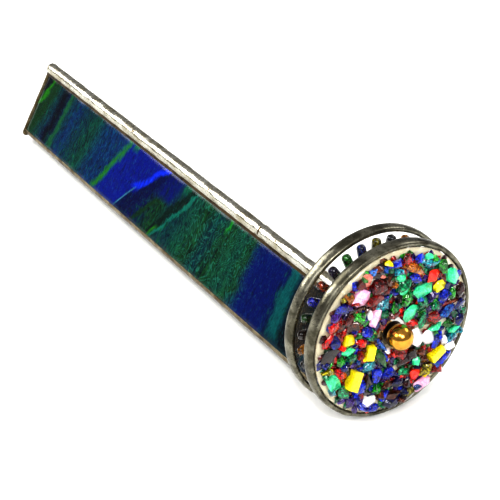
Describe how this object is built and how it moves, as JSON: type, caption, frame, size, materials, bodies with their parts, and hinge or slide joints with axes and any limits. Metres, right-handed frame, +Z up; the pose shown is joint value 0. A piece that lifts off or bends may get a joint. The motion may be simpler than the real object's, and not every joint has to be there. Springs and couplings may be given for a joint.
{
  "type": "kaleidoscope",
  "caption": "Handheld stained-glass kaleidoscope: a triangular mirrored body with an eyepiece, and turning wheels of coloured glass at its front end.",
  "frame": {"origin": "under the middle of the overall length, at the lowest point of the wheels", "axes": "+X along the body towards the wheels and the ball nut, +Z up with the ridge seam on top"},
  "size_m": [0.2414, 0.0572, 0.0571],
  "materials": {
    "art_glass": "opaque swirled blue and green art glass",
    "clear_glass": "clear polished",
    "black_glass": "opaque black, polished",
    "mirror_glass": "first-surface mirror",
    "solder": "hand-run solder with light patina",
    "lead_came": "dull grey rolled channel",
    "brass": "polished",
    "steel_washer": "darkened",
    "rubber_washer": "matt black",
    "cushion_foam": "matt black foam",
    "chip_glass": "polished chips of many colours in clear resin",
    "rod_black": "polished",
    "rod_olive": "polished",
    "rod_navy": "polished",
    "rod_green": "polished",
    "rod_purple": "polished",
    "rod_orange_brown": "polished",
    "rod_blue": "polished",
    "rod_dark_green": "polished",
    "rod_brown": "polished",
    "rod_amber": "polished"
  },
  "bodies": {
    "body": {"right_panel": "art_glass", "left_panel": "art_glass", "base_panel": "art_glass", "ridge_seam": "solder", "right_seam": "solder", "left_seam": "solder", "front_end_seam": "solder", "rear_end_seam": "solder", "front_window": "clear_glass", "eyepiece_plate": "black_glass", "eyepiece_lens": "clear_glass", "right_mirror": "mirror_glass", "left_mirror": "mirror_glass", "base_mirror": "mirror_glass", "ridge_cushion": "cushion_foam", "right_cushion": "cushion_foam", "left_cushion": "cushion_foam", "axle_rod": "brass", "rear_washer": "rubber_washer", "wheel_spacer": "brass", "front_washer": "steel_washer", "ball_nut": "brass"},
    "rear_wheel": {"rear_wheel_rim": "lead_came", "rear_wheel_disc": "clear_glass", "rear_wheel_hub": "brass", "glass_rod_01": "rod_olive", "glass_rod_02": "rod_navy", "glass_rod_03": "rod_green", "glass_rod_04": "rod_purple", "glass_rod_05": "rod_orange_brown", "glass_rod_06": "rod_blue", "glass_rod_07": "rod_dark_green", "glass_rod_08": "rod_brown", "glass_rod_09": "rod_amber", "glass_rod_10": "rod_black", "glass_rod_11": "rod_olive", "glass_rod_12": "rod_navy", "glass_rod_13": "rod_green", "glass_rod_14": "rod_purple", "glass_rod_15": "rod_orange_brown", "glass_rod_16": "rod_blue", "glass_rod_17": "rod_dark_green", "glass_rod_18": "rod_brown", "glass_rod_19": "rod_amber", "glass_rod_20": "rod_black", "glass_rod_21": "rod_olive", "glass_rod_22": "rod_navy", "glass_rod_23": "rod_green", "glass_rod_24": "rod_purple", "glass_rod_25": "rod_orange_brown", "glass_rod_26": "rod_blue", "glass_rod_27": "rod_dark_green", "glass_rod_28": "rod_brown", "glass_rod_29": "rod_amber", "glass_rod_30": "rod_black"},
    "front_wheel": {"front_wheel_rim": "lead_came", "front_wheel_disc": "clear_glass", "front_wheel_hub": "brass", "glass_chips": "chip_glass"}
  },
  "joints": [
    {"name": "rear_wheel_spin", "type": "hinge", "parent": "body", "child": "rear_wheel", "pos_m": [0.10124, 0, 0.02857], "axis": [1, 0, 0], "continuous": true},
    {"name": "front_wheel_spin", "type": "hinge", "parent": "body", "child": "front_wheel", "pos_m": [0.11124, 0, 0.02857], "axis": [1, 0, 0], "continuous": true}
  ]
}
